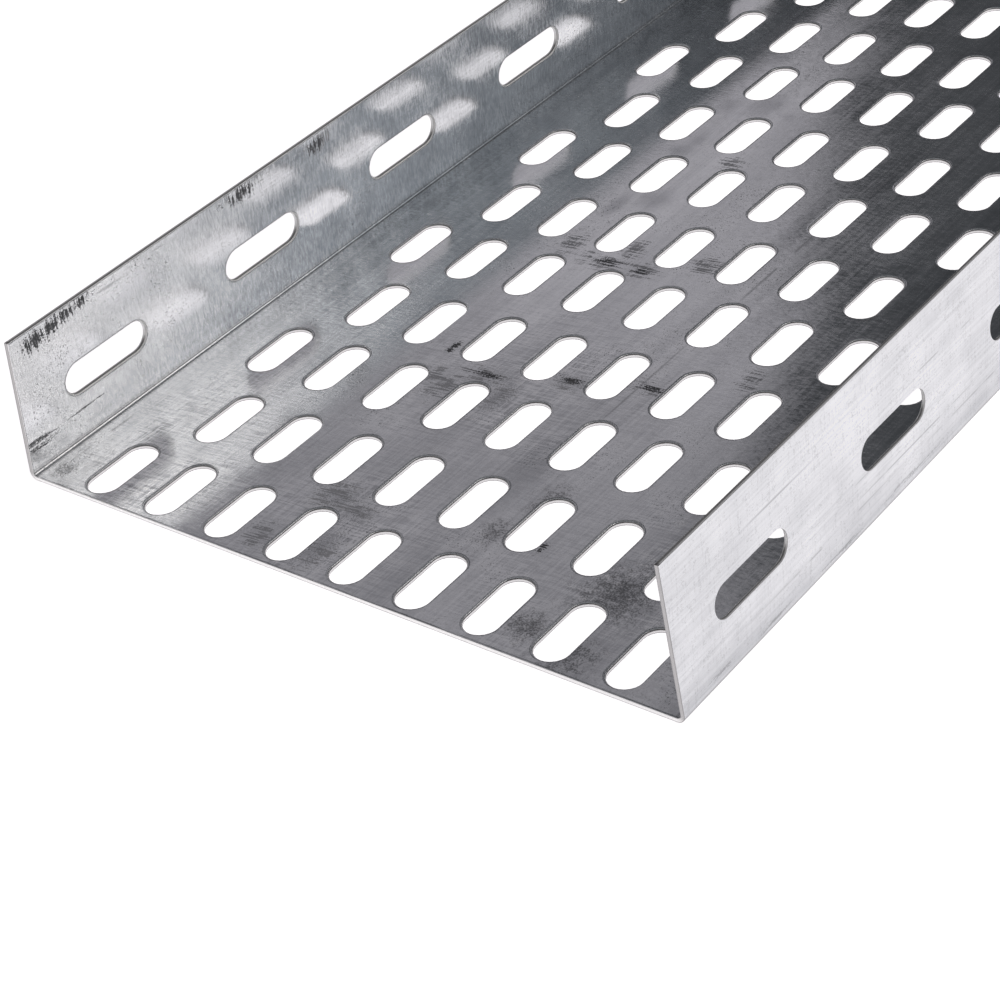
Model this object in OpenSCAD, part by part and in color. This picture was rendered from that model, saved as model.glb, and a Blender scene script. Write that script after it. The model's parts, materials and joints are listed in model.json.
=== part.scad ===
// Perforated cable tray: one sheet of galvanised steel, punched with slots and folded into a channel.
// Its two flanges lean in a little from the ends of their folds.
// X runs along the tray, from the near end to the far end, Y across it to the left and Z up.
// The origin is under the middle of the tray, on its underside.

/* [Tray] */
// Length of the tray
tray_length = 2000; // [300:10:3000]
// Width over the outside of the folds
tray_width = 200; // [100:5:400]
// Height over the outside, from the underside to the top edges of the flanges
tray_height = 42; // [36:1:100]
// Thickness of the sheet
sheet = 1.2; // [0.8:0.1:2]
// Inside radius of the two folds
fold_radius = 1; // [0.5:0.1:3]
// Angle by which a flange leans in from upright
flange_lean = 4.5; // [0:0.5:8]

/* [Base slots] */
// Width of a slot in the base
base_slot_width = 9; // [6:0.5:14]
// Length of a slot in the base, over its round ends
base_slot_length = 22.5; // [15:0.5:26]
// Distance between neighbouring slots of a row, across the tray
slot_pitch = 20; // [14:0.5:40]
// Distance over which an odd and an even row repeat along the tray
row_repeat = 62.5; // [58:0.5:120]
// Distance from an odd row to the even row that follows it
even_row_offset = 30.25; // [27:0.25:34]
// Distance from the near end to the middle of the first row
first_row = 13.5; // [13:0.5:60]
// Least plain strip between a slot in the base and the outside of a flange
side_strip = 12; // [6:0.5:30]
// Least plain strip between the last slots and the far end
end_strip = 2; // [1:0.5:60]

/* [Flange slots] */
// Width of a slot in a flange
flange_slot_width = 9; // [6:0.5:14]
// Length of a slot in a flange, over its round ends
flange_slot_length = 30; // [16:0.5:44]
// Distance between neighbouring slots along a flange
flange_slot_pitch = 62.5; // [50:0.5:200]
// Height of the line of flange slots above the underside
flange_slot_level = 19.5; // [10:0.5:34]
// Distance from the near end to the middle of the first flange slot
first_flange_slot = 31.25; // [20:0.25:100]

/* [Hidden] */
galvanised_grey = [0.66, 0.68, 0.70];
fold_outer_radius = fold_radius + sheet;
near_end = -tray_length / 2;
half_width = tray_width / 2;
// Smoothness of the slots' round ends
slot_facets = 48;

// Furthest from the middle line that a base slot may have its own middle, counted in pitches
side_room = (half_width - side_strip - base_slot_width / 2) / slot_pitch;
odd_side = floor(side_room);
even_side = floor(side_room + 0.5);
odd_places = [for (i = [-odd_side : odd_side]) i * slot_pitch];
even_places = [for (i = [1 - even_side : even_side]) (i - 0.5) * slot_pitch];

// Places along the tray from a first one, a step apart, as far as a slot still clears the far end
function along(first, step, slot_length) =
    [for (x = [first : step : tray_length - end_strip - slot_length / 2]) near_end + x];

odd_rows = along(first_row, row_repeat, base_slot_length);
even_rows = along(first_row + even_row_offset, row_repeat, base_slot_length);
flange_places = along(first_flange_slot, flange_slot_pitch, flange_slot_length);

// Height of the flat flange from the end of its fold to its top edge, and how far in it leans over that height
flange_height = tray_height - fold_outer_radius;
flange_reach = flange_height * tan(flange_lean);

// Outline of one slot that lies along X, with round ends
module slot(slot_length, slot_width) {
    straight = slot_length - slot_width;
    square([straight, slot_width], center = true);
    for (end = [-1, 1])
        translate([end * straight / 2, 0])
            circle(d = slot_width, $fn = slot_facets);
}

// Outlines of the slots in the given rows along the base, at the given places across it
module rows_of_slots(rows, places) {
    for (x = rows, y = places)
        translate([x, y])
            slot(base_slot_length, base_slot_width);
}

// Flat base between the two folds, with its staggered rows of slots
module base() {
    linear_extrude(sheet)
        difference() {
            square([tray_length, tray_width - 2 * fold_outer_radius], center = true);
            rows_of_slots(odd_rows, odd_places);
            rows_of_slots(even_rows, even_places);
        }
}

// Quarter of a ring of sheet along X that turns the base's left edge up, about the fold's own middle
module fold() {
    rotate([90, 0, 90])
        rotate([0, 0, -90])
            rotate_extrude(angle = 90)
                translate([fold_radius, near_end])
                    square([sheet, tray_length]);
}

// Flat left flange that leans in from the end of the fold to a plain level top edge, about the fold's own middle
module flange() {
    rotate([90, 0, 90])
        linear_extrude(tray_length, center = true)
            polygon([
                [fold_radius, 0],
                [fold_outer_radius, 0],
                [fold_outer_radius - flange_reach, flange_height],
                [fold_radius - flange_reach, flange_height]
            ]);
}

// Level line of slots from the outside of the left flange to the middle of the tray
module flange_slots() {
    translate([0, half_width, flange_slot_level])
        rotate([90, 0, 0])
            linear_extrude(half_width)
                for (x = flange_places)
                    translate([x, 0])
                        slot(flange_slot_length, flange_slot_width);
}

// Everything on the left of the base
module left_side() {
    difference() {
        translate([0, half_width - fold_outer_radius, fold_outer_radius]) {
            fold();
            flange();
        }
        flange_slots();
    }
}

module tray() {
    color(galvanised_grey) {
        base();
        left_side();
        mirror([0, 1, 0])
            left_side();
    }
}

tray();
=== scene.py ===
# %% [markdown]
# # A perforated cable tray
#
# The object is one sheet of galvanised steel. A press punches slots into the flat sheet, and two folds
# turn its long edges up into flanges. This lesson makes it in the same order: a flat blank, its slots,
# the folds, and then the finish, which carries most of the likeness. The packed model is loaded first,
# because it fixes every size.

# %% Load the fixed frame
import json
import math

import bpy
import numpy as np
from mathutils import Matrix, Vector
from mathutils.geometry import delaunay_2d_cdt


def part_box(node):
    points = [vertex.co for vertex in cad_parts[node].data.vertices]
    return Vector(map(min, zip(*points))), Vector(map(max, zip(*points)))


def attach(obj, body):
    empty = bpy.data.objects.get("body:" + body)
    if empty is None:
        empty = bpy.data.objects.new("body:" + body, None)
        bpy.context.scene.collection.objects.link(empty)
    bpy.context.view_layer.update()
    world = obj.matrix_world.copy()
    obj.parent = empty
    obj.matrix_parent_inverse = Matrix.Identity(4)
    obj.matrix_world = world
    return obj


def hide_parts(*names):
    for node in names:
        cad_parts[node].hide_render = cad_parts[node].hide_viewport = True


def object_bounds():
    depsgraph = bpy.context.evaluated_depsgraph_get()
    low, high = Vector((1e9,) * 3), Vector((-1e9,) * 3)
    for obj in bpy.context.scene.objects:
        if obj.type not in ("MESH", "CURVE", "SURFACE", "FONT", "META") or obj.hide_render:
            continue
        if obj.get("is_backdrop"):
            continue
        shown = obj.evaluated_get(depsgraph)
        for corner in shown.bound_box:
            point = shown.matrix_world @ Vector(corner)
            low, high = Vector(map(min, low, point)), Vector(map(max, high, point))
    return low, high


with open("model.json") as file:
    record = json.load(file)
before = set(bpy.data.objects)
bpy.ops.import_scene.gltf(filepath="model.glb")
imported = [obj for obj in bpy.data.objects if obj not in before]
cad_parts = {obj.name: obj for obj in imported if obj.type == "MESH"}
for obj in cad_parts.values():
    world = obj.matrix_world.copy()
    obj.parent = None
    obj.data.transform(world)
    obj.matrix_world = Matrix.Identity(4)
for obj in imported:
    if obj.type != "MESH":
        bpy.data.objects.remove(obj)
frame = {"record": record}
cad_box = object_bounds()
MM = 0.001
low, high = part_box("tray")
print("tray from", [round(v, 4) for v in low], "to", [round(v, 4) for v in high])

# %% [markdown]
# ## The camera
#
# A camera needs a place, a way to look and a lens. Here they were found by fitting a pin-hole camera to
# the slots and edges of the tray, so they are plain measured values: where the camera stands from the
# middle of the near end, its bearing from the tray's length, how far it looks down, and how far it is
# rolled. The picture is square.

# %% Stand the camera where the photograph was taken
PICTURE_SIDE = 1000
lens_in_pixels = 2599.4
camera_from_near_end = Vector((-0.3433, -0.3547, 0.3661))
bearing = math.radians(40.98)
look_down = math.radians(35.19)
camera_roll = math.radians(-7.92)


def camera_axes(bearing, look_down, roll):
    """The camera's right, up and back, from its bearing, its tilt and its roll."""
    forward = Vector((math.cos(bearing), math.sin(bearing), 0))
    ahead = forward * math.cos(look_down) - Vector((0, 0, math.sin(look_down)))
    level = Vector((math.sin(bearing), -math.cos(bearing), 0))
    upright = level.cross(ahead)
    right = level * math.cos(roll) + upright * math.sin(roll)
    return right, right.cross(ahead), -ahead


camera = bpy.data.objects.new("camera", bpy.data.cameras.new("camera"))
bpy.context.scene.collection.objects.link(camera)
near_end_middle = Vector((low.x, 0, low.z))
turned = Matrix(camera_axes(bearing, look_down, camera_roll)).transposed().to_4x4()
camera.matrix_world = Matrix.Translation(near_end_middle + camera_from_near_end) @ turned
camera.data.sensor_fit = "HORIZONTAL"
camera.data.lens = camera.data.sensor_width * lens_in_pixels / PICTURE_SIDE
bpy.context.scene.camera = camera
print("camera at", [round(v, 3) for v in camera.location], "lens", round(camera.data.lens, 1), "mm")

# %% [markdown]
# ## Floor and room
#
# Bare metal has hardly any colour of its own: it shows what stands around it. The tray lies on a lit
# white table, so its slots show white and its outer flange mirrors white. Above it the room is dim,
# which makes the base grey. The table could be lit by lamps alone, but then the tray would throw a dark
# shadow on it, so it also glows a little by itself.

# %% Lay the floor
floor_side = 80.0
floor_drop = 0.2 * MM
TABLE_WHITE = (0.85, 0.85, 0.86, 1)
TABLE_GLOW = (1.0, 0.97, 0.982, 1)
glow_strength = 0.91


def lit_table():
    """White table top that scatters the lamps' light and glows softly."""
    made = bpy.data.materials.new("lit_table")
    made.use_nodes = True
    shader = made.node_tree.nodes["Principled BSDF"].inputs
    shader["Base Color"].default_value = TABLE_WHITE
    shader["Roughness"].default_value = 0.9
    shader["Specular IOR Level"].default_value = 0.0
    shader["Emission Color"].default_value = TABLE_GLOW
    shader["Emission Strength"].default_value = glow_strength
    return made


half = floor_side / 2
floor_corners = [(-half, -half, 0), (half, -half, 0), (half, half, 0), (-half, half, 0)]
floor_mesh = bpy.data.meshes.new("floor")
floor_mesh.from_pydata(floor_corners, [], [(0, 1, 2, 3)])
floor = bpy.data.objects.new("floor", floor_mesh)
bpy.context.scene.collection.objects.link(floor)
floor.location.z = low.z - floor_drop
floor_mesh.materials.append(lit_table())
floor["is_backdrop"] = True
print("floor", floor_side, "m square")

# %% Dim the room
ROOM_TINT = (0.90, 0.94, 1.0, 1)
room_glow = 0.085
bpy.context.scene.view_settings.view_transform = "Standard"
world = bpy.data.worlds.new("dim_room")
bpy.context.scene.world = world
world.use_nodes = True
room = world.node_tree.nodes["Background"]
room.inputs["Color"].default_value = ROOM_TINT
room.inputs["Strength"].default_value = room_glow
print("room at", room_glow, "of white")

# %% [markdown]
# ## The lamps
#
# A few large soft panels give the sheet its gradients. What a soft mirror shows is the face of a lamp,
# so a panel is set by how bright its face looks, not by its power. Two panels hang at the left, where
# the base mirrors them towards the camera. Four stand on one upright wall at the right, which the left
# flange faces. One above and one beyond the near end serve the other views.

# %% Make a soft panel
def soft_panel(name, place, aim, size, brightness, tint, twist=0.0):
    """Flat lamp, equally bright all over, hung at a place, turned towards an aim and twisted about it."""
    width, height = size
    data = bpy.data.lights.new(name, "AREA")
    data.shape = "RECTANGLE"
    data.size, data.size_y = width, height
    data.energy = brightness * math.pi * width * height
    data.color = tint
    lamp = bpy.data.objects.new(name, data)
    turned = (Vector(aim) - Vector(place)).to_track_quat("-Z", "Y").to_matrix()
    turned = turned @ Matrix.Rotation(twist, 3, "Z")
    lamp.matrix_world = Matrix.Translation(place) @ turned.to_4x4()
    bpy.context.scene.collection.objects.link(lamp)
    return lamp


COOL_WHITE = (0.95, 0.97, 1.0)
WARM_WHITE = (1.0, 0.97, 0.95)
over_tray = Vector((-0.4, 0, 3.0))
below_it = Vector((-0.4, 0, 0))
beyond_near_end = Vector((-2.8, 0.5, 1.1))
near_end_aim = Vector((-1.0, 0, 0.1))
lamps = [
    soft_panel("panel_over", over_tray, below_it, (4.0, 2.0), 0.20, COOL_WHITE),
    soft_panel("panel_near", beyond_near_end, near_end_aim, (2.4, 1.4), 0.40, WARM_WHITE),
]
print(len(lamps), "lamps for the other views")

# %% Hang two panels at the left, with their edges on a slant
PALE_ROSE = (1.0, 0.95, 1.0)
base_aim = Vector((low.x + 0.25, 0, low.z))
left_middle = Vector((0.234, 1.85, 1.36))
towards_base = base_aim - left_middle
sideways = towards_base.cross(Vector((0, 0, 1))).normalized()
upwards = sideways.cross(towards_base.normalized())
slant = math.radians(-33)
edge_way = upwards * math.cos(slant) - sideways * math.sin(slant)
inner_way = sideways * math.cos(slant) + upwards * math.sin(slant)
dark_corner = left_middle - 1.19 * sideways
left_place = dark_corner + edge_way * 0.40 + inner_way * 0.75
# The two overlap. A ray counts both only if one hangs in front of the other.
in_front = towards_base.normalized() * 2 * MM
low_place = dark_corner - edge_way * 0.15 + inner_way * 0.55 + in_front
lamps += [
    soft_panel("panel_left", left_place, left_place + towards_base, (1.5, 1.9), 0.30, PALE_ROSE, slant),
    soft_panel("panel_left_low", low_place, low_place + towards_base, (1.1, 0.9), 0.13, PALE_ROSE, slant),
]
print(len(lamps), "lamps with those at the left")

# %% Stand four panels on a wall at the right
right_wall = -1.15
WARM = (1.0, 0.945, 0.89)
WARM_TOP = (1.0, 0.945, 0.90)
COOL = (0.93, 0.965, 1.0)
COLD = (0.88, 0.95, 1.0)


def wall_panel(name, edge_middle, lean_over, size, slide, brightness, tint):
    """Lamp on the wall: its far edge passes a point of the wall and leans over by so many degrees."""
    lean_over = math.radians(lean_over)
    along_wall = Vector((math.cos(lean_over), 0, -math.sin(lean_over)))
    up_wall = Vector((math.sin(lean_over), 0, math.cos(lean_over)))
    x, z = edge_middle
    place = Vector((x, right_wall, z)) - along_wall * size[0] / 2 + up_wall * slide
    return soft_panel(name, place, place + Vector((0, 1, 0)), size, brightness, tint, -lean_over)


lamps += [
    wall_panel("panel_right", (0.27, 1.04), 15, (1.0, 1.5), 0.0, 0.83, WARM),
    wall_panel("panel_right_top", (0.335, 1.40), 0, (1.0, 0.90), -0.05, 3.10, WARM_TOP),
    wall_panel("panel_right_wide", (0.64, 1.04), 39, (1.1, 1.5), -0.10, 0.36, COOL),
    wall_panel("panel_right_far", (1.065, 1.04), 42, (1.2, 1.8), -0.25, 0.29, COLD),
]
print(len(lamps), "lamps in all")

# %% [markdown]
# ## Sizes of the sheet
#
# The slots are bolt holes, so the packed record already states their size, pitch and level. What it
# doesn't state, such as the rows' spacing and the sheet's thickness, is written here once. The flat
# blank is measured by two numbers: x along the tray, and s across the unfolded sheet from its middle
# line.

# %% Read the sizes of the slots
mounts = {mount["name"]: mount for mount in frame["record"]["mounts"]}
base_bolts = mounts["base_fixing"]["dims"]
coupler = mounts["coupler_left_near"]
base_slot = (base_bolts["slot_length_mm"] * MM, 2 * base_bolts["hole_r_mm"] * MM)
flange_slot = (coupler["dims"]["slot_length_mm"] * MM, 2 * coupler["dims"]["hole_r_mm"] * MM)
flange_pitch = coupler["dims"]["spacing_x_mm"] * MM
first_flange_slot = coupler["pos_m"][0] - flange_pitch / 2
print("base slots", [round(v / MM, 2) for v in base_slot], "mm and flange slots",
      [round(v / MM, 2) for v in flange_slot], "mm")

# %% Measure the blank
sheet = 1.2 * MM
fold_radius = 1.0 * MM
fold_middle_radius = fold_radius + sheet / 2
fold_starts = high.y - fold_radius - sheet
fold_ends = fold_starts + fold_middle_radius * math.pi / 2
flange_bottom = low.z + fold_radius + sheet
coupler_climb = coupler["pos_m"][2] - flange_bottom
lean = math.atan2(high.y - sheet / 2 - coupler["pos_m"][1], coupler_climb)
blank_edge = fold_ends + (high.z - flange_bottom) / math.cos(lean)
flange_line = fold_ends + coupler_climb / math.cos(lean)
print("blank", round((high.x - low.x) / MM), "by", round(2 * blank_edge / MM, 1), "mm;",
      "the flanges lean in by", round(math.degrees(lean), 2), "degrees")

# %% Set out the slots
slot_pitch = 20 * MM
row_repeat = 62.5 * MM
even_row_offset = 30.25 * MM
first_row = low.x + 13.5 * MM
slots_in_odd_row = 9
slots_in_even_row = 8
end_strip = 2 * MM


def places_along(first, step, slot_length):
    """Places from the first one on, a step apart, as long as a slot still clears the far end."""
    last = high.x - end_strip - slot_length / 2
    return [first + step * k for k in range(int((last - first) / step + 1e-6) + 1)]


def places_across(count):
    """Places of a row's slots, a pitch apart and even about the middle line."""
    return [(k - (count - 1) / 2) * slot_pitch for k in range(count)]


odd_rows = places_along(first_row, row_repeat, base_slot[0])
even_rows = places_along(first_row + even_row_offset, row_repeat, base_slot[0])
flange_places = places_along(first_flange_slot, flange_pitch, flange_slot[0])
slots = [((x, s), base_slot) for x in odd_rows for s in places_across(slots_in_odd_row)]
slots += [((x, s), base_slot) for x in even_rows for s in places_across(slots_in_even_row)]
slots += [((x, side * flange_line), flange_slot) for x in flange_places for side in (-1, 1)]
print(len(slots), "slots")

# %% [markdown]
# ## The flat blank
#
# A plate with hundreds of holes could be cut with Boolean modifiers, but those are slow and leave
# ragged triangles. Instead every outline is listed as points, and Blender's own Delaunay function joins
# them into well-shaped triangles. A triangle whose three corners all lie on one slot would fill that
# slot, so it is left out.

# %% Draw the outlines
ARC_STEPS = 12
points, ways_into_metal, slot_of_point, outline_edges, rims = [], [], [], [], []


def add_line(line, into_metal=None, slot=-1, closed=True):
    """Adds a row of points and the edges between them, and returns the points' numbers."""
    first = len(points)
    numbers = list(range(first, first + len(line)))
    points.extend(map(tuple, line))
    ways_into_metal.extend(map(tuple, np.zeros((len(line), 2)) if into_metal is None else into_metal))
    slot_of_point.extend([slot] * len(line))
    outline_edges.extend(zip(numbers, numbers[1:] + numbers[:1] if closed else numbers[1:]))
    return numbers


def slot_outline(middle, size):
    """Points round a slot with round ends, and the way from the slot's middle line to each."""
    slot_length, slot_width = size
    turn = np.linspace(-math.pi / 2, math.pi / 2, ARC_STEPS + 1)
    right_end = np.stack([np.cos(turn), np.sin(turn)], 1)
    away = np.concatenate([right_end, -right_end])
    ends = np.repeat([[1.0, 0.0], [-1.0, 0.0]], ARC_STEPS + 1, axis=0)
    return np.array(middle) + ends * (slot_length - slot_width) / 2 + away * slot_width / 2, away


for number, (middle, size) in enumerate(slots):
    line, away = slot_outline(middle, size)
    rims.append(add_line(line, away, number))
print(len(points), "points on the slots' rims")

# %% Choose where lines cross the blank
FOLD_STEPS = 6
FLANGE_STEPS = 8
station_step = 10 * MM
last_rows_of_lengths = (7, 15, 23)
fold_lines = [fold_starts + (fold_ends - fold_starts) * k / FOLD_STEPS for k in range(FOLD_STEPS + 1)]
crossings = sorted([-s for s in fold_lines] + fold_lines)
map_joints = [odd_rows[k] + (even_row_offset + row_repeat) / 2 for k in last_rows_of_lengths]
stations = [x for x in np.arange(low.x + station_step, high.x - station_step / 2, station_step)
            if min(abs(x - joint) for joint in map_joints) > station_step / 4]
stations = sorted(stations + map_joints)
base_stations = list(np.arange(-slots_in_odd_row, slots_in_odd_row + 1) * slot_pitch / 2)
flange_stations = list(np.linspace(fold_ends, blank_edge, FLANGE_STEPS + 1)[1:-1])
print(len(crossings), "fold lines, and", len(map_joints), "joints between the lengths of the map")

# %% Add the sheared outline, the fold lines and the joints
SAME_PLACE = 1e-9
end_stations = sorted(crossings + base_stations)
near_side = [(low.x, s) for s in end_stations]
left_side = [(x, blank_edge) for x in stations]
far_side = [(high.x, s) for s in reversed(end_stations)]
right_side = [(x, -blank_edge) for x in reversed(stations)]
sheared = [(low.x, -blank_edge), *near_side, (low.x, blank_edge), *left_side,
           (high.x, blank_edge), *far_side, (high.x, -blank_edge), *right_side]


def from_border(place, border):
    """Way back into the metal for a place on a border at plus or minus so much, and 0 elsewhere."""
    return np.sign(-place) * (abs(abs(place) - border) < SAME_PLACE)


into_metal = [(from_border(x, high.x), from_border(s, blank_edge)) for x, s in sheared]
rims.append(add_line(sheared, into_metal))
for s in crossings:
    add_line([(x, s) for x in stations], closed=False)
for x in map_joints:
    add_line([(x, s) for s in base_stations], closed=False)
    for side in (-1, 1):
        add_line([(x, side * s) for s in flange_stations], closed=False)
print(len(points), "points in the whole blank")

# %% Join the points into triangles
TOUCHING = 1e-7
joined = delaunay_2d_cdt([Vector(p) for p in points], outline_edges, [], 0, TOUCHING)
corners, _, triangles, origin, _, _ = joined
assert len(corners) == len(points)
slot_of_point = np.array(slot_of_point)
triangles = np.array([[origin[c][0] for c in triangle] for triangle in triangles])
on_slots = slot_of_point[triangles]
fills_a_slot = (on_slots[:, 0] >= 0) & (on_slots == on_slots[:, :1]).all(1)
triangles = triangles[~fills_a_slot]
print(len(triangles), "triangles on each face of the sheet")

# %% [markdown]
# ## Punching and folding
#
# A punch drags the sheet's face down a little before it breaks through, so each slot has a softly
# rolled rim on the inside of the tray and a sharp one underneath. The blank gets two skins a sheet
# apart, and a narrow roll and a wall at every rim. A narrow collar of sheet round each rim lets the
# finish draw a fine line of painted shade there, round the base's slots. Folding is then a formula: it
# gives each point of the blank its place and the way its face looks.

# %% Fold the blank
def folded(s):
    """Folded sheet at s: place on its middle layer, way through it, inward normal and way across."""
    side, reach = np.sign(s), np.abs(s)
    turn = np.clip((reach - fold_starts) / fold_middle_radius, 0, math.pi / 2)
    climb = np.maximum(reach - fold_ends, 0)
    out = np.minimum(reach, fold_starts) + fold_middle_radius * np.sin(turn) - climb * math.sin(lean)
    z = low.z + sheet / 2 + fold_middle_radius * (1 - np.cos(turn)) + climb * math.cos(lean)
    through = np.stack([-side * np.sin(turn), np.cos(turn)], 1)
    tilt = turn * (1 + lean / (math.pi / 2))
    normal = np.stack([-side * np.sin(tilt), np.cos(tilt)], 1)
    across = np.stack([np.cos(tilt), side * np.sin(tilt)], 1)
    return np.stack([side * out, z], 1), through, normal, across


def on_sheet(flat_points, level):
    """Places in the tray of points of the blank, at a level above the sheet's middle layer."""
    section, through, _, _ = folded(flat_points[:, 1])
    return np.column_stack([flat_points[:, 0], section + through * level])


flat = np.array(points)
section = folded(flat[:, 1])[0]
print("folded to", (np.ptp(section, axis=0) / MM).round(2), "mm across and up, on the middle layer")

# %% Place the skins, the rolls and the walls
ROLL = 0.4 * MM
EDGE_ROLL = 0.12 * MM
COLLAR = 0.35 * MM
into_metal = np.array(ways_into_metal, float)
on_rim = np.concatenate([np.array(rim) for rim in rims])
rim_number = np.full(len(flat), -1)
rim_number[on_rim] = np.arange(len(on_rim))
roll = np.where(slot_of_point >= 0, ROLL, EDGE_ROLL)[:, None]
collar = flat + (roll + COLLAR) * into_metal
lip = (flat + roll * into_metal)[on_rim]
inner_skin = on_sheet(collar, sheet / 2)
outer_skin = on_sheet(flat, -sheet / 2)
rim_lip = on_sheet(lip, sheet / 2)
shoulder = on_sheet(flat[on_rim], sheet / 2 - roll[on_rim])
places = np.concatenate([inner_skin, outer_skin, rim_lip, shoulder])
outer_first = len(flat)
lip_first = 2 * len(flat)
shoulder_first = lip_first + len(on_rim)
print(len(places), "vertices")

# %% Make the faces of the skins and the way each corner looks
_, _, skin_normal, skin_across = folded(flat[:, 1])
inward = np.column_stack([np.zeros(len(flat)), skin_normal])
faces = [tuple(t) for t in triangles] + [tuple(t[::-1] + outer_first) for t in triangles]
corner_ways = [inward[triangles].reshape(-1, 3), -inward[triangles[:, ::-1]].reshape(-1, 3)]
for rim in rims:
    here = np.array(rim)
    there = np.roll(here, -1)
    faces += list(zip(here, there, rim_number[there] + lip_first, rim_number[here] + lip_first))
    looks = np.stack([inward[here], inward[there], inward[there], inward[here]], 1)
    corner_ways.append(looks.reshape(-1, 3))
skin_faces = len(faces)
print(skin_faces, "faces on the skins and collars")

# %% Make the faces of the rolls and walls
def wall_way(numbers, way):
    """The way a wall looks in the tray, from the way out of the metal in the blank."""
    tilt = np.column_stack([way[:, 0], way[:, 1:] * skin_across[numbers]])
    return tilt / np.linalg.norm(tilt, axis=1, keepdims=True)


for rim in rims:
    here = np.array(rim)
    there = np.roll(here, -1)
    top_a, top_b = rim_number[here] + lip_first, rim_number[there] + lip_first
    mid_a, mid_b = rim_number[here] + shoulder_first, rim_number[there] + shoulder_first
    bottom_a, bottom_b = here + outer_first, there + outer_first
    if slot_of_point[here[0]] >= 0:
        way_a, way_b = wall_way(here, -into_metal[here]), wall_way(there, -into_metal[there])
    else:
        run = flat[there] - flat[here]
        way_a = way_b = wall_way(here, np.stack([-run[:, 1], run[:, 0]], 1))
    faces += list(zip(top_a, top_b, mid_b, mid_a)) + list(zip(mid_a, mid_b, bottom_b, bottom_a))
    corner_ways.append(np.stack([inward[here], inward[there], way_b, way_a], 1).reshape(-1, 3))
    corner_ways.append(np.stack([way_a, way_b, way_b, way_a], 1).reshape(-1, 3))
print(len(faces) - skin_faces, "faces on the rolls and walls")

# %% Build the mesh
tray_mesh = bpy.data.meshes.new("tray_sheet")
tray_mesh.from_pydata(places.tolist(), [], [tuple(map(int, face)) for face in faces])
tray_mesh.shade_smooth()
tray_mesh.normals_split_custom_set(np.concatenate(corner_ways).tolist())
tray = bpy.data.objects.new("tray_sheet", tray_mesh)
bpy.context.scene.collection.objects.link(tray)
tray_mesh.calc_loop_triangles()
print(len(tray_mesh.loop_triangles), "triangles in the tray")

# %% [markdown]
# ## Two maps of the sheet
#
# The finish follows the blank, not the folded tray: rolling marks run along it and scuffs lie where
# tools touched it. So each vertex keeps its place on the blank, with a third number: 1 on the inner
# face, LIP_LEVEL where a rim starts to roll, 0 at its shoulder and -1 on the outer face. A second map
# lays the two faces out side by side, in four lengths one above the other, for texture baking.

# %% Keep each vertex's place on the blank
LIP_LEVEL = 0.75
blank_places = np.concatenate([
    np.column_stack([collar, np.ones(len(flat))]),
    np.column_stack([flat, -np.ones(len(flat))]),
    np.column_stack([lip, np.full(len(on_rim), LIP_LEVEL)]),
    np.column_stack([flat[on_rim], np.zeros(len(on_rim))])])
blank = tray_mesh.attributes.new("blank", "FLOAT_VECTOR", "POINT")
blank.data.foreach_set("vector", blank_places.astype(np.float32).ravel())
print("places on the blank from", blank_places.min(0).round(3), "to", blank_places.max(0).round(3))

# %% Unroll the rims and walls
roll_run = math.sqrt(2) * roll[on_rim]
rim_out = -into_metal[on_rim]
shoulder_spot = flat[on_rim] + rim_out * (roll_run - roll[on_rim])
wall_foot = flat[on_rim] + rim_out * (roll_run + sheet - 2 * roll[on_rim])
unfolded = np.concatenate([collar, flat, lip, shoulder_spot])
corner_vertex = np.empty(len(tray_mesh.loops), int)
tray_mesh.loops.foreach_get("vertex_index", corner_vertex)
face_corners = np.array([len(face) for face in faces])
face_of_corner = np.repeat(np.arange(len(faces)), face_corners)
spot = unfolded[corner_vertex]
on_foot = (face_of_corner >= skin_faces) & (corner_vertex >= outer_first) & (corner_vertex < lip_first)
spot[on_foot] = wall_foot[rim_number[corner_vertex[on_foot] - outer_first]]
print(np.count_nonzero(on_foot), "corners at the feet of walls")

# %% Lay the faces out in four lengths
MAP_GAP = 6 * MM
length_ends = np.array([low.x, *map_joints, high.x])
lengths = len(length_ends) - 1
length_room = np.diff(length_ends).max() + MAP_GAP
width_room = 2 * blank_edge + MAP_GAP
first_corner = np.cumsum(face_corners) - face_corners
middles = np.add.reduceat(blank_places[corner_vertex, 0], first_corner) / face_corners
length = np.clip(np.searchsorted(length_ends, middles) - 1, 0, lengths - 1)[face_of_corner]
outside = (face_of_corner >= len(triangles)) & (face_of_corner < 2 * len(triangles))
chart = np.column_stack([spot[:, 0] - length_ends[length] + outside * length_room,
                         spot[:, 1] + blank_edge + length * width_room]) + MAP_GAP / 2
chart /= max(2 * length_room, lengths * width_room)
bake_map = tray_mesh.uv_layers.new(name="OFBake")
bake_map.data.foreach_set("uv", chart.astype(np.float32).ravel())
print("map from", chart.min(0).round(3), "to", chart.max(0).round(3))

# %% [markdown]
# ## A bench for finishes
#
# Galvanised sheet is a soft mirror. Its zinc has fine streaks across the length, thin threads along it
# from rolling, cloudy patches and small mottles. They could come from a picture, but a picture has a
# fixed sharpness, so all of them are noise textures, stretched differently along and across the blank.
# That takes many nodes, and a short helper for each kind of node keeps the recipe readable.

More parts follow.
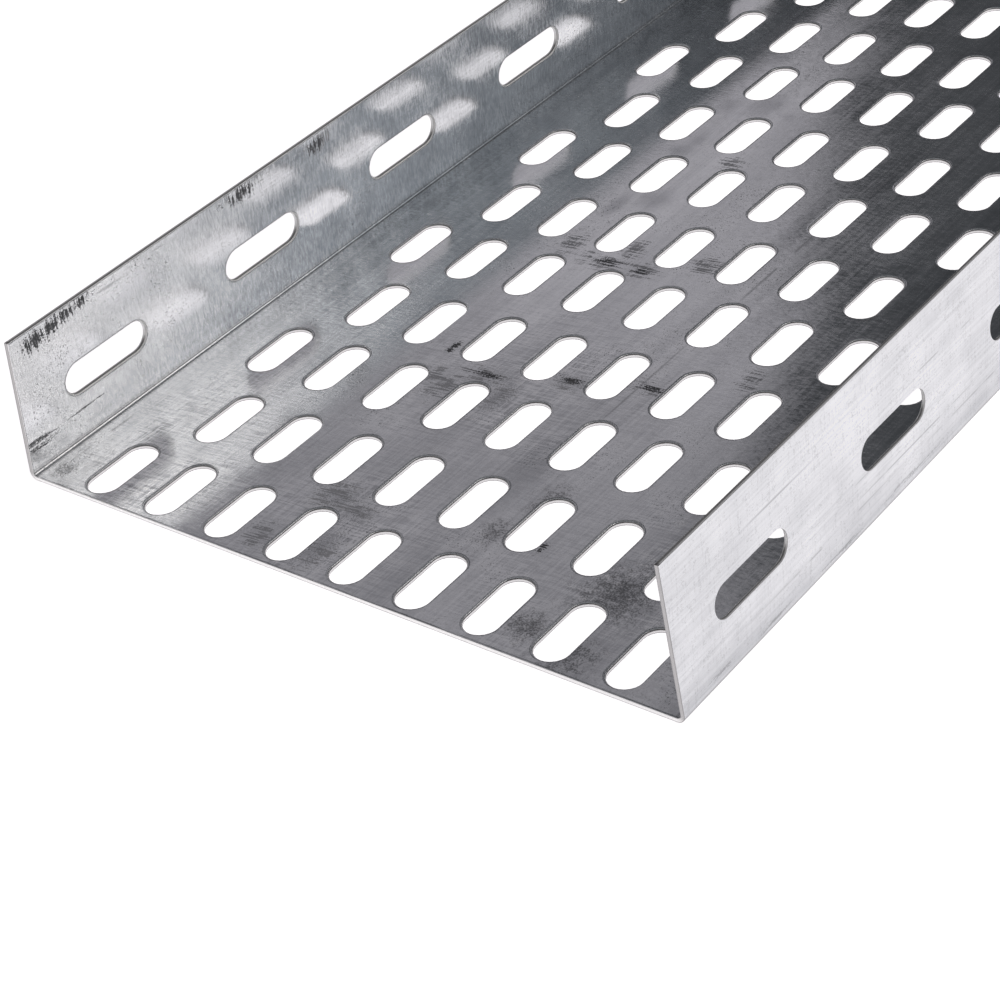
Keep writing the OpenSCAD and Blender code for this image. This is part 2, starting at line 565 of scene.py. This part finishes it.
# %% Make a bench for mixing finishes
class Bench:
    """Material being mixed: nodes are added one after another and joined to its shader."""

    def __init__(self, name):
        self.made = bpy.data.materials.new(name)
        self.made.use_nodes = True
        self.tree = self.made.node_tree
        self.shader = self.tree.nodes["Principled BSDF"].inputs

    def join(self, value, socket):
        """Sets a socket to a constant, or joins another node's result to it."""
        if isinstance(value, bpy.types.NodeSocket):
            self.tree.links.new(value, socket)
        else:
            socket.default_value = value

    def parts(self, vector):
        """The three numbers of a vector."""
        node = self.tree.nodes.new("ShaderNodeSeparateXYZ")
        self.join(vector, node.inputs[0])
        return node.outputs

    def math(self, operation, *values, kept=False):
        """Result of one sum, held from 0 to 1 if it is to be kept there."""
        node = self.tree.nodes.new("ShaderNodeMath")
        node.operation = operation
        node.use_clamp = kept
        for value, socket in zip(values, node.inputs):
            self.join(value, socket)
        return node.outputs[0]

    def times(self, first, *others):
        """Product of several values."""
        for other in others:
            first = self.math("MULTIPLY", first, other)
        return first

    def largest(self, first, *others):
        """Largest of several values."""
        for other in others:
            first = self.math("MAXIMUM", first, other)
        return first


print("bench with", [name for name in vars(Bench) if not name.startswith("_")])

# %% Add scales and blends to the bench
class Mixer(Bench):
    """Bench that also reads values on new scales, blends them and turns them into relief."""

    def between(self, value, start, stop, first=0.0, last=1.0):
        """Value read on a new scale: first up to the start, last from the stop on, and smooth between."""
        node = self.tree.nodes.new("ShaderNodeMapRange")
        node.interpolation_type = "SMOOTHSTEP"
        for socket, constant in zip(node.inputs[:5], (value, start, stop, first, last)):
            self.join(constant, socket)
        return node.outputs[0]

    def blend(self, share, first, second, kind="FLOAT"):
        """Value between two others, by a share from 0 to 1."""
        node = self.tree.nodes.new("ShaderNodeMix")
        node.data_type = kind
        sockets = [socket for socket in node.inputs if socket.enabled]
        for socket, value in zip(sockets, (share, first, second)):
            self.join(value, socket)
        return next(socket for socket in node.outputs if socket.enabled)

    def tint(self, share, first, second):
        """Colour between two others, by a share from 0 to 1."""
        return self.blend(share, first, second, "RGBA")

    def relief(self, height, depth, below=None):
        """Shading normal of a relief so many metres deep, over another one."""
        node = self.tree.nodes.new("ShaderNodeBump")
        node.inputs["Distance"].default_value = depth
        self.join(height, node.inputs["Height"])
        if below is not None:
            self.join(below, node.inputs["Normal"])
        return node.outputs["Normal"]


print("mixer with", [name for name in vars(Mixer) if not name.startswith("_")])

# %% [markdown]
# ## Patterns on the blank
#
# A pattern is either a grain, which is noise all over the sheet, or a set of spots at stated places.
# Both read the vertices' places on the blank. A texture node has a mapping of its own, so a grain's
# length and turn, and a spot's place and size, are set there: that is quicker to render than a mapping
# node before each texture.

# %% Add the sheet's patterns to the bench
NOISE_LOW, NOISE_HIGH = 0.28, 0.72
FACES_APART = 7.3


class Finish(Mixer):
    """Finish of the sheet, whose patterns follow the blank."""

    def __init__(self, name):
        super().__init__(name)
        place = self.tree.nodes.new("ShaderNodeAttribute")
        place.attribute_name = "blank"
        self.blank = place.outputs["Vector"]
        self.along, self.across, self.level = self.parts(self.blank)
        self.from_middle = self.math("ABSOLUTE", self.across)
        self.on_flange = self.between(self.from_middle, fold_starts, fold_ends)

    def grain(self, along, across, detail=2.0, raggedness=0.5, turn=0.0):
        """Noise from 0 to 1 whose grains are so many mm long along the tray and across it."""
        node = self.tree.nodes.new("ShaderNodeTexNoise")
        node.texture_mapping.vector_type = "TEXTURE"
        node.texture_mapping.rotation = (0, 0, math.radians(turn))
        node.texture_mapping.scale = (along * MM, across * MM, 1 / FACES_APART)
        self.join(self.blank, node.inputs["Vector"])
        node.inputs["Scale"].default_value = 1.0
        node.inputs["Detail"].default_value = detail
        node.inputs["Roughness"].default_value = raggedness
        return self.between(node.outputs["Fac"], NOISE_LOW, NOISE_HIGH)

    def weighed(self, patterns, recipe):
        """One half, plus each pattern's swing about one half times its weight, kept from 0 to 1."""
        total = 0.5 - sum(recipe.values()) / 2
        for number, (name, weight) in enumerate(recipe.items(), 1):
            total = self.math("MULTIPLY_ADD", patterns[name], weight, total, kept=number == len(recipe))
        return total

    def spots(self, places, face):
        """1 in the middle of each spot on a face, 0 outside; a spot is a place and two half sizes in mm."""
        most = 0.0
        for along, across, half_along, half_across in places:
            node = self.tree.nodes.new("ShaderNodeTexGradient")
            node.gradient_type = "SPHERICAL"
            steps = Vector((1 / (half_along * MM), 1 / (half_across * MM), 0))
            node.texture_mapping.scale = steps
            node.texture_mapping.translation = -steps * Vector((low.x + along * MM, across * MM, 0))
            self.join(self.blank, node.inputs["Vector"])
            most = self.math("MAXIMUM", node.outputs["Fac"], most)
        return self.math("MULTIPLY", self.between(most, 0.0, 1.0), face)


print("finish with", [name for name in vars(Finish) if not name.startswith("_")])

# %% [markdown]
# ## Marks of handling
#
# Tools and hands leave black scrapes by the edges, rubbed smudges, dull patches and small stains. They
# could be painted by hand, but paint doesn't follow when a size changes. Here each mark is a spot on
# the blank: its place along the tray from the near end, its place across from the middle line, and two
# half sizes, all in millimetres. The finish then breaks every spot up with a grain, so that none of
# them shows as a plain oval.

# %% List the marks on the inside
black_scrapes = [
    (9, 136.4, 10, 5.5), (15, 137, 10, 4.5), (21, 138, 9, 3.4), (26, 138.2, 6, 3), (88, 137.6, 10, 4),
    (119, 136.6, 7, 4.4), (36, -36, 5, 2.2), (91, 21, 3, 11), (153, 25, 4, 9), (153, 14, 3, 6),
    (105, -21, 2.4, 9), (98, 37.5, 6, 2.2), (99, -1, 3, 8)]
scuff_lines = [(5, 108.3, 13, 1.4), (5, 106.2, 9, 1.6), (22, 108.0, 11, 0.8)]
smudges = [
    (9, 29, 9, 8), (30, 22, 10, 11), (10, 12, 13, 8), (27, 13, 6, 9), (82, 28, 13, 9), (85, 33, 9, 5),
    (91, 21, 6, 13), (84, 12, 11, 6), (98, -1, 6, 9), (153, 26, 7, 14), (153, 14, 6, 8), (160, 22, 11, 6),
    (157, 40, 9, 6), (119, -42, 8, 5), (105, -21, 5, 10), (215, 24, 6, 6), (163, -2, 8, 8),
    (88, 138, 14, 4.5), (120, 137, 12, 4.5)]
mottles = [
    (6, 94, 8, 6), (30, -62, 20, 17), (6, -64, 13, 13), (10, -50, 10, 10), (52, -27, 12, 8),
    (36, -22, 9, 7)]
scratches = [
    (26, 94.7, 40, 0.7), (64, 26.2, 9, 0.6), (100, -18, 60, 0.6), (180, -19, 80, 0.7), (250, -22, 90, 0.7),
    (210, -46, 80, 0.6), (37, 137.2, 14, 0.8), (50, 138.4, 13, 0.7), (67, 137.8, 10, 0.9)]
print(len(black_scrapes + scuff_lines + smudges + mottles), "dark marks and", len(scratches), "scratches")

# %% List the marks on the outside, the worn places and the painted highlight at the near end
outer_marks = [(16, -102, 14, 1.6), (38, -101, 16, 1.4), (66, -101, 22, 1.4), (98, -102, 26, 1.2)]
outer_scratches = [
    (60, -106.5, 55, 0.5), (104, -109, 50, 0.45), (150, -106, 70, 0.5), (70, -113.5, 38, 0.4),
    (44, -130, 22, 0.5), (120, -126, 40, 0.4)]
dull_patches = [
    (188, 32, 11, 8), (180, 41, 10, 4), (216, 42, 7, 6), (223, 41, 9, 4), (246, 44, 8, 5), (250, 33, 11, 9),
    (246, 24, 6, 4), (280, 47, 12, 6), (60, -14, 24, 9)]
# Painted highlight: a spot at the near end, over the left flange and the base beside it, where the zinc is
# made brighter
painted_bright_ends = [(20, 128, 120, 60)]
hatched = [(8, 66, 15, 19), (30, 84, 14, 8)]
woven = [(20, 70, 70, 50), (15, 20, 60, 70), (90, 10, 60, 60), (30, -60, 60, 50)]
# Lengthwise darker strips, by middle and half width across the sheet in mm: partly painted shade and
# reflection, partly lengthwise scratches
stripes = {-12: 4, -23: 2.5, 57: 5, -70: 60}
print(len(outer_marks + outer_scratches), "marks outside,", len(dull_patches), "dull patches and",
      len(woven + hatched), "worn places")

# %% [markdown]
# ## The zinc
#
# A grain is given by its length along and across the tray in millimetres, its detail, its raggedness
# and its turn in degrees. A mixture gives each grain a weight. The base, the flanges and the outside
# have mixtures of their own, because rollers and hands touched them differently. The same grains change
# the colour, the roughness and a very small relief, because in real zinc a rough patch is also a duller
# one.

# %% Choose the grains and the mixtures
GRAINS = {
    "streak": (0.7, 2.6, 1.0, 0.6, 3.0),
    "thread": (60, 0.8, 1.0),
    "band": (420, 11, 1.0),
    "cloud": (26, 26, 2.0, 0.65),
    "patch": (9, 14, 1.0),
    "mottle": (2.2, 2.2, 2.0, 0.7),
    "along_lines": (8, 0.40, 1.0, 0.6, -3.0),
    "across_lines": (0.55, 7, 1.0, 0.6, 6.0),
    "grit": (0.45, 0.45, 1.0, 0.6),
    "wave": (330, 24, 0.0),
}
WEAVE = {"along_lines": 0.45, "across_lines": 0.55}
BASE_SHADE = {"cloud": 0.30, "band": 0.26, "thread": 0.20, "streak": 0.12, "weave": 0.26, "grit": 0.18}
FLANGE_SHADE = {"streak": 0.42, "cloud": 0.30, "patch": 0.26, "mottle": 0.18, "grit": 0.10}
OUTER_SHADE = {"cloud": 0.26, "patch": 0.10, "thread": 0.18, "streak": 0.04, "grit": 0.05}
DULLNESS = {"streak": 0.5, "cloud": 0.35, "thread": 0.25}
SCRAPED = {"grit": 0.7, "across_lines": 0.8}
DRAGGED = {"along_lines": 0.8, "grit": 0.6}
RUBBED = {"across_lines": 1.0, "along_lines": 0.5, "grit": 0.3}
STAINED = {"mottle": 0.5, "grit": 0.7, "weave": 0.4}
print(len(GRAINS), "grains for the zinc")

# %% Colour the zinc
DULL_ZINC = (0.45, 0.46, 0.48, 1)
BRIGHT_ZINC = (0.82, 0.83, 0.85, 1)
POLISHED_ZINC = (0.95, 0.95, 0.95, 1)
SCRATCH = (0.28, 0.285, 0.30, 1)
OUTER_BAND = fold_ends + 9 * MM
# How far the painted shade beside the folds reaches on the flanges' insides, and where along the tray it
# grows
INNER_BAND = fold_ends + 16 * MM
BAND_FADES_IN = low.x + 40 * MM
BAND_IS_FULL = low.x + 120 * MM
OUTER_DIMMING = (0.28, 0.04)
# Painted shade: how much darker the flanges' insides are beside the folds, away from the near end
INNER_FOLD_SHADE = 0.13
STRIPE_DIMMING = 0.15
PATCH_DIMMING = (0.2, 0.6)
# Painted highlight at the near end: how far it pulls the shade up, and to what level
BRIGHT_END_SHARE = 0.55
BRIGHT_END_SHADE = 1.12


def zinc_shade(mix, patterns, inside, bright):
    """How bright the zinc is, from dull at 0 to bright at 1; it is dimmer in a band beside the folds, which
    on the flanges' insides is painted shade, and pulled up near the near end by a painted highlight.
    """
    # Outside, the base and the foot of each flange are darker than the flanges above.
    outer = mix.weighed(patterns, OUTER_SHADE)
    outer = mix.math("SUBTRACT", outer, mix.between(mix.from_middle, fold_ends, OUTER_BAND, *OUTER_DIMMING))
    # Painted shade: inside, the flanges are darker beside the folds, more so away from the near end.
    shade_by_fold = mix.between(mix.from_middle, fold_ends, INNER_BAND, 1.0, 0.0)
    away_from_end = mix.between(mix.along, BAND_FADES_IN, BAND_IS_FULL, 0.0, INNER_FOLD_SHADE)
    flange = mix.weighed(patterns, FLANGE_SHADE)
    flange = mix.math("SUBTRACT", flange, mix.times(shade_by_fold, away_from_end))
    base = mix.weighed(patterns, BASE_SHADE)
    shade = mix.blend(inside, outer, mix.blend(mix.on_flange, base, flange))
    # Painted shade and reflection, with lengthwise scratches, darken strips along the sheet.
    for middle, half_width in stripes.items():
        away = mix.math("ABSOLUTE", mix.math("SUBTRACT", mix.across, middle * MM))
        shade = mix.math("SUBTRACT", shade, mix.between(away, 0.0, half_width * MM, STRIPE_DIMMING, 0.0))
    cloudy = mix.between(patterns["cloud"], 0.1, 0.6, *PATCH_DIMMING)
    shade = mix.math("SUBTRACT", shade, mix.times(mix.spots(dull_patches, inside), cloudy))
    # Painted highlight: near the near end the shade is pulled up.
    return mix.blend(mix.math("MULTIPLY", bright, BRIGHT_END_SHARE), shade, BRIGHT_END_SHADE)


def zinc_colour(mix, patterns, inside, bright):
    """Colour of the zinc, with a weave of fine dark and polished lines where handling has worn it."""
    zinc = mix.tint(zinc_shade(mix, patterns, inside, bright), DULL_ZINC, BRIGHT_ZINC)
    worn = mix.times(mix.spots(woven, inside), mix.between(patterns["cloud"], 0.2, 0.7, 0.25, 0.6),
                     mix.between(bright, 0.0, 1.0, 1.0, 0.6))
    worn = mix.largest(worn, mix.math("MULTIPLY", mix.spots(hatched, inside), 0.9))
    dark_lines = mix.times(mix.between(patterns["weave"], 0.48, 0.22), worn)
    light_lines = mix.times(mix.between(patterns["weave"], 0.58, 0.85), worn)
    return mix.tint(light_lines, mix.tint(dark_lines, zinc, SCRATCH), POLISHED_ZINC)


print("zinc from", DULL_ZINC[:3], "to", BRIGHT_ZINC[:3])

# %% Lay the dark marks over it
# Colour of the marks and specks, and of the painted shade in the folds and round the rims
SOOT_AND_SHADE = (0.03, 0.03, 0.033, 1)
SMUDGE_WEIGHT = 0.75
MOTTLE_WEIGHT = 0.8
# Where a mark starts to show and where it is full, as spot and mixture together, and how dark it then is
SCRAPE_SCALE = (0.95, 1.45, 0.0, 0.9)
SCUFF_SCALE = (0.90, 1.45, 0.0, 0.85)
OUTER_MARK_SCALE = (1.05, 1.75, 0.0, 0.42)
SMUDGE_SCALE = (0.86, 1.36, 0.0, 0.56)
MOTTLE_SCALE = (0.62, 1.70, 0.0, 0.66)
# Where the patches start to let a scratch show and where they let it show in full, and how dark it then is
SCRATCH_SCALE = (0.3, 0.8, 0.0, 0.35)


def dark_marks(mix, patterns, inside):
    """Scrapes, scuffs, smudges, mottles and scratches: spots that a mixture of grains breaks up."""
    outside = mix.between(mix.level, 0.0, -1.0)
    dragged = mix.weighed(patterns, DRAGGED)
    scraped = mix.math("ADD", mix.weighed(patterns, SCRAPED), mix.spots(black_scrapes, inside))
    scuffed = mix.math("ADD", dragged, mix.spots(scuff_lines, inside))
    marked = mix.math("ADD", dragged, mix.spots(outer_marks, outside))
    rubbed = mix.weighed(patterns, RUBBED)
    rubbed = mix.math("MULTIPLY_ADD", mix.spots(smudges, inside), SMUDGE_WEIGHT, rubbed)
    stained = mix.weighed(patterns, STAINED)
    stained = mix.math("MULTIPLY_ADD", mix.spots(mottles, inside), MOTTLE_WEIGHT, stained)
    scratched = mix.largest(mix.spots(scratches, inside), mix.spots(outer_scratches, outside))
    return mix.largest(
        mix.between(scraped, *SCRAPE_SCALE),
        mix.between(scuffed, *SCUFF_SCALE),
        mix.between(marked, *OUTER_MARK_SCALE),
        mix.between(rubbed, *SMUDGE_SCALE),
        mix.between(stained, *MOTTLE_SCALE),
        mix.times(scratched, mix.between(patterns["patch"], *SCRATCH_SCALE)))


print("marks in soot", SOOT_AND_SHADE[:3])

# %% Scatter specks, and paint shade in the folds and round the rims
# Painted shade in the crease of each fold: its middle, where it fades along the tray, and how dark it is
# near and far
FOLD_SHADE_MIDDLE = fold_starts + 0.4 * MM
FOLD_SHADE_FADES = low.x + 150 * MM
NEAR_AND_FAR_FOLD_SHADE = (0.45, 0.2)
# Painted shade along the outside of each fold
OUTER_FOLD_SHADE = 0.65
# Painted shade in a fine line round the rims of the base's slots
RIM_SHADE = 0.18


def specks_and_painted_shade(mix, patterns, inside, bright):
    """Dark specks all over, and painted shade in the folds, along the outside of each fold and in a fine
    line round the rims of the base's slots.
    """
    gritty = mix.math("MULTIPLY_ADD", bright, 0.05, patterns["grit"])
    specks = mix.times(
        mix.between(gritty, 0.90, 1.0),
        mix.between(patterns["cloud"], 0.40, 0.85, 0.0, 0.6),
        mix.between(inside, 0.0, 1.0, 0.35, 1.0))
    # Painted shade in the crease of each fold, fading along the tray.
    from_grime = mix.math("ABSOLUTE", mix.math("SUBTRACT", mix.from_middle, FOLD_SHADE_MIDDLE))
    fold_grime = mix.times(
        mix.between(from_grime, 0.3 * MM, 1.3 * MM, 1.0, 0.0), inside,
        mix.between(mix.along, low.x, FOLD_SHADE_FADES, *NEAR_AND_FAR_FOLD_SHADE))
    # Painted shade along the outside of each fold, where it mirrors the shadow under the tray.
    outside_fold_shade = mix.times(
        mix.between(mix.from_middle, fold_ends - 0.7 * MM, fold_ends + 0.1 * MM, OUTER_FOLD_SHADE, 0.0),
        mix.between(mix.from_middle, fold_starts - 1.0 * MM, fold_starts),
        mix.between(mix.level, -0.5, -1.0))
    # Painted shade: a fine dark line round the rims of the base's slots.
    rim_shade = mix.times(
        mix.between(mix.level, 1.0, LIP_LEVEL), inside,
        mix.blend(mix.on_flange, RIM_SHADE, 0.0),
        mix.between(mix.along, low.x + sheet, low.x + 2 * sheet))
    return mix.largest(specks, fold_grime, outside_fold_shade, rim_shade)


print("grime", round(FOLD_SHADE_MIDDLE / MM, 1), "mm from the middle line")

# %% Mix the finish of the sheet
WAVE_DEPTH = 0.06 * MM
STREAK_DEPTH = 0.006 * MM
PLAIN_AND_BRIGHT_ROUGHNESS = (0.07, 0.15)
DULL_ROUGHNESS = 0.14
MARK_AND_SHADE_ROUGHNESS = 0.3


def galvanised_sheet():
    """Soft zinc mirror with its grains, the marks of handling, dark specks, painted shade and a painted
    highlight.
    """
    mix = Finish("galvanised_steel")
    patterns = {name: mix.grain(*size) for name, size in GRAINS.items()}
    patterns["weave"] = mix.weighed(patterns, WEAVE)
    inside = mix.between(mix.level, 0.0, 0.5)
    # Painted highlight near the near end; it also thins the weave, adds specks and changes the roughness
    # there.
    bright = mix.spots(painted_bright_ends, inside)
    zinc = zinc_colour(mix, patterns, inside, bright)
    marks_and_shade = mix.largest(dark_marks(mix, patterns, inside), specks_and_painted_shade(mix, patterns, inside, bright))
    mix.join(mix.tint(marks_and_shade, zinc, SOOT_AND_SHADE), mix.shader["Base Color"])
    roughness = mix.between(bright, 0.0, 1.0, *PLAIN_AND_BRIGHT_ROUGHNESS)
    roughness = mix.math("MULTIPLY_ADD", mix.weighed(patterns, DULLNESS), DULL_ROUGHNESS, roughness)
    mix.join(mix.math("MULTIPLY_ADD", marks_and_shade, MARK_AND_SHADE_ROUGHNESS, roughness), mix.shader["Roughness"])
    mix.shader["Metallic"].default_value = 1.0
    waves = mix.relief(patterns["wave"], WAVE_DEPTH)
    mix.join(mix.relief(patterns["streak"], STREAK_DEPTH, waves), mix.shader["Normal"])
    return mix.made


tray_mesh.materials.append(galvanised_sheet())
print(len(tray_mesh.materials[0].node_tree.nodes), "nodes in the finish of the sheet")

# %% [markdown]
# ## The sheared edge
#
# A punched or sheared wall shows four things from the inside to the outside: zinc that rolled over with
# the face, a dark line of painted shade at the shoulder, bare torn steel and a dark burr. It could be cut
# into strips with a material each, but the third number on the blank already says how far down the wall
# a point lies, so one material shades all four. Walls of the flanges that look up get painted shade along
# their inner half, and on the flanges the rolled zinc and the walls are near white, a painted highlight.

# %% Choose the colours of the edge
# Colour of the painted shade at the shoulder and on flange walls that look up, and of the burr
EDGE_SHADE_AND_BURR = (0.09, 0.085, 0.085, 1)
ROLLED_ZINC = (0.70, 0.71, 0.73, 1)
# Painted highlight: the flanges' rolled zinc is near white
BRIGHT_ROLL = (0.95, 0.95, 0.95, 1)
BRIGHT_WALL = (0.63, 0.625, 0.63, 1)
END_WALL = (0.80, 0.795, 0.795, 1)
FLANGE_END_WALL = (0.42, 0.415, 0.42, 1)
# Painted highlight: the flanges' torn walls are near white
DULL_WALL = (0.90, 0.90, 0.90, 1)
TEAR = (0.7, 0.7, 2.0)
print("edge from", EDGE_SHADE_AND_BURR[:3], "to", BRIGHT_ROLL[:3])

# %% Mix the sheared edge
# How strong the painted shade line at the shoulder and the burr are: at the near end, in the base and in
# the flanges
LINE_STRENGTHS = (0.45, 1.0, 0.15)
BURR_STRENGTHS = (0.45, 0.75, 0.35)
# Painted shade on the inner half of flange walls that look up
UP_WALL_SHADE = 0.85


def by_place(mix, behind_end, strengths):
    """Strength at a place, from those at the near end, in the base and in the flanges."""
    at_end, in_base, in_flange = strengths
    return mix.blend(behind_end, at_end, mix.blend(mix.on_flange, in_base, in_flange))


def edge_shade_and_burr(mix, behind_end):
    """A dark line of painted shade at the shoulder, a dark burr at the underside, and painted shade on
    flange walls that look up.
    """
    # Painted shade: a dark line at the shoulder.
    line = mix.times(
        mix.between(mix.level, -0.15, 0.0), mix.between(mix.level, 0.45, 0.12),
        by_place(mix, behind_end, LINE_STRENGTHS))
    burr = mix.times(mix.between(mix.level, -0.70, -0.90), by_place(mix, behind_end, BURR_STRENGTHS))
    # Painted shade: flange walls that face up are darker along their inner half.
    normal = mix.parts(mix.tree.nodes.new("ShaderNodeNewGeometry").outputs["Normal"])
    up_wall_shade = mix.times(
        mix.between(normal["Z"], 0.3, 0.7), mix.on_flange,
        mix.between(mix.level, 0.3, 0.0), mix.between(mix.level, -0.80, -0.35, 0.0, UP_WALL_SHADE))
    return mix.largest(line, burr, up_wall_shade)


def sheared_edge():
    """Punched wall: rolled zinc, bare torn steel that is duller on the flanges, a dark burr and painted
    shade; on the flanges the rolled zinc and the walls are near white, a painted highlight.
    """
    mix = Finish("sheared_edge")
    tear = mix.grain(*TEAR)
    behind_end = mix.between(mix.along, low.x + sheet / 2, low.x + sheet)
    flange_wall = mix.times(mix.on_flange, behind_end)
    dull = mix.weighed({"flange_wall": flange_wall, "tear": tear}, {"flange_wall": 1.0, "tear": 0.25})
    end_wall = mix.tint(mix.on_flange, END_WALL, FLANGE_END_WALL)
    # Painted highlight: on the flanges the torn walls and the rolled zinc turn near white.
    wall = mix.tint(dull, mix.tint(behind_end, end_wall, BRIGHT_WALL), DULL_WALL)
    rolled = mix.tint(mix.on_flange, ROLLED_ZINC, BRIGHT_ROLL)
    metal = mix.tint(mix.between(mix.level, 0.0, 0.3), wall, rolled)
    mix.join(mix.tint(edge_shade_and_burr(mix, behind_end), metal, EDGE_SHADE_AND_BURR), mix.shader["Base Color"])
    mix.join(mix.between(tear, 0.0, 1.0, 0.26, 0.45), mix.shader["Roughness"])
    mix.join(mix.between(dull, 0.0, 1.0, 1.0, 0.15), mix.shader["Metallic"])
    return mix.made


tray_mesh.materials.append(sheared_edge())
which = np.repeat([0, 1], [skin_faces, len(faces) - skin_faces])
tray_mesh.polygons.foreach_set("material_index", which.astype(np.int32))
tray_mesh.update()
print("zinc and edge on", np.bincount(which), "faces")

# %% [markdown]
# ## Into the frame
#
# The finished sheet rides on the part's one body and stands in for the packed solid, which stays where
# it is. Both boxes are written down, so that anyone can see that the dressed part has the size of the
# packed one.

# %% Put the tray in the frame
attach(tray, "root")
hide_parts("tray")
print(tray.name, "stands for the tray")

# %% Print the sizes of both boxes and finish
visual_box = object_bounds()
for name, box in (("CAD", cad_box), ("visual", visual_box)):
    print(name, "box", [[round(v, 4) for v in corner] for corner in box])
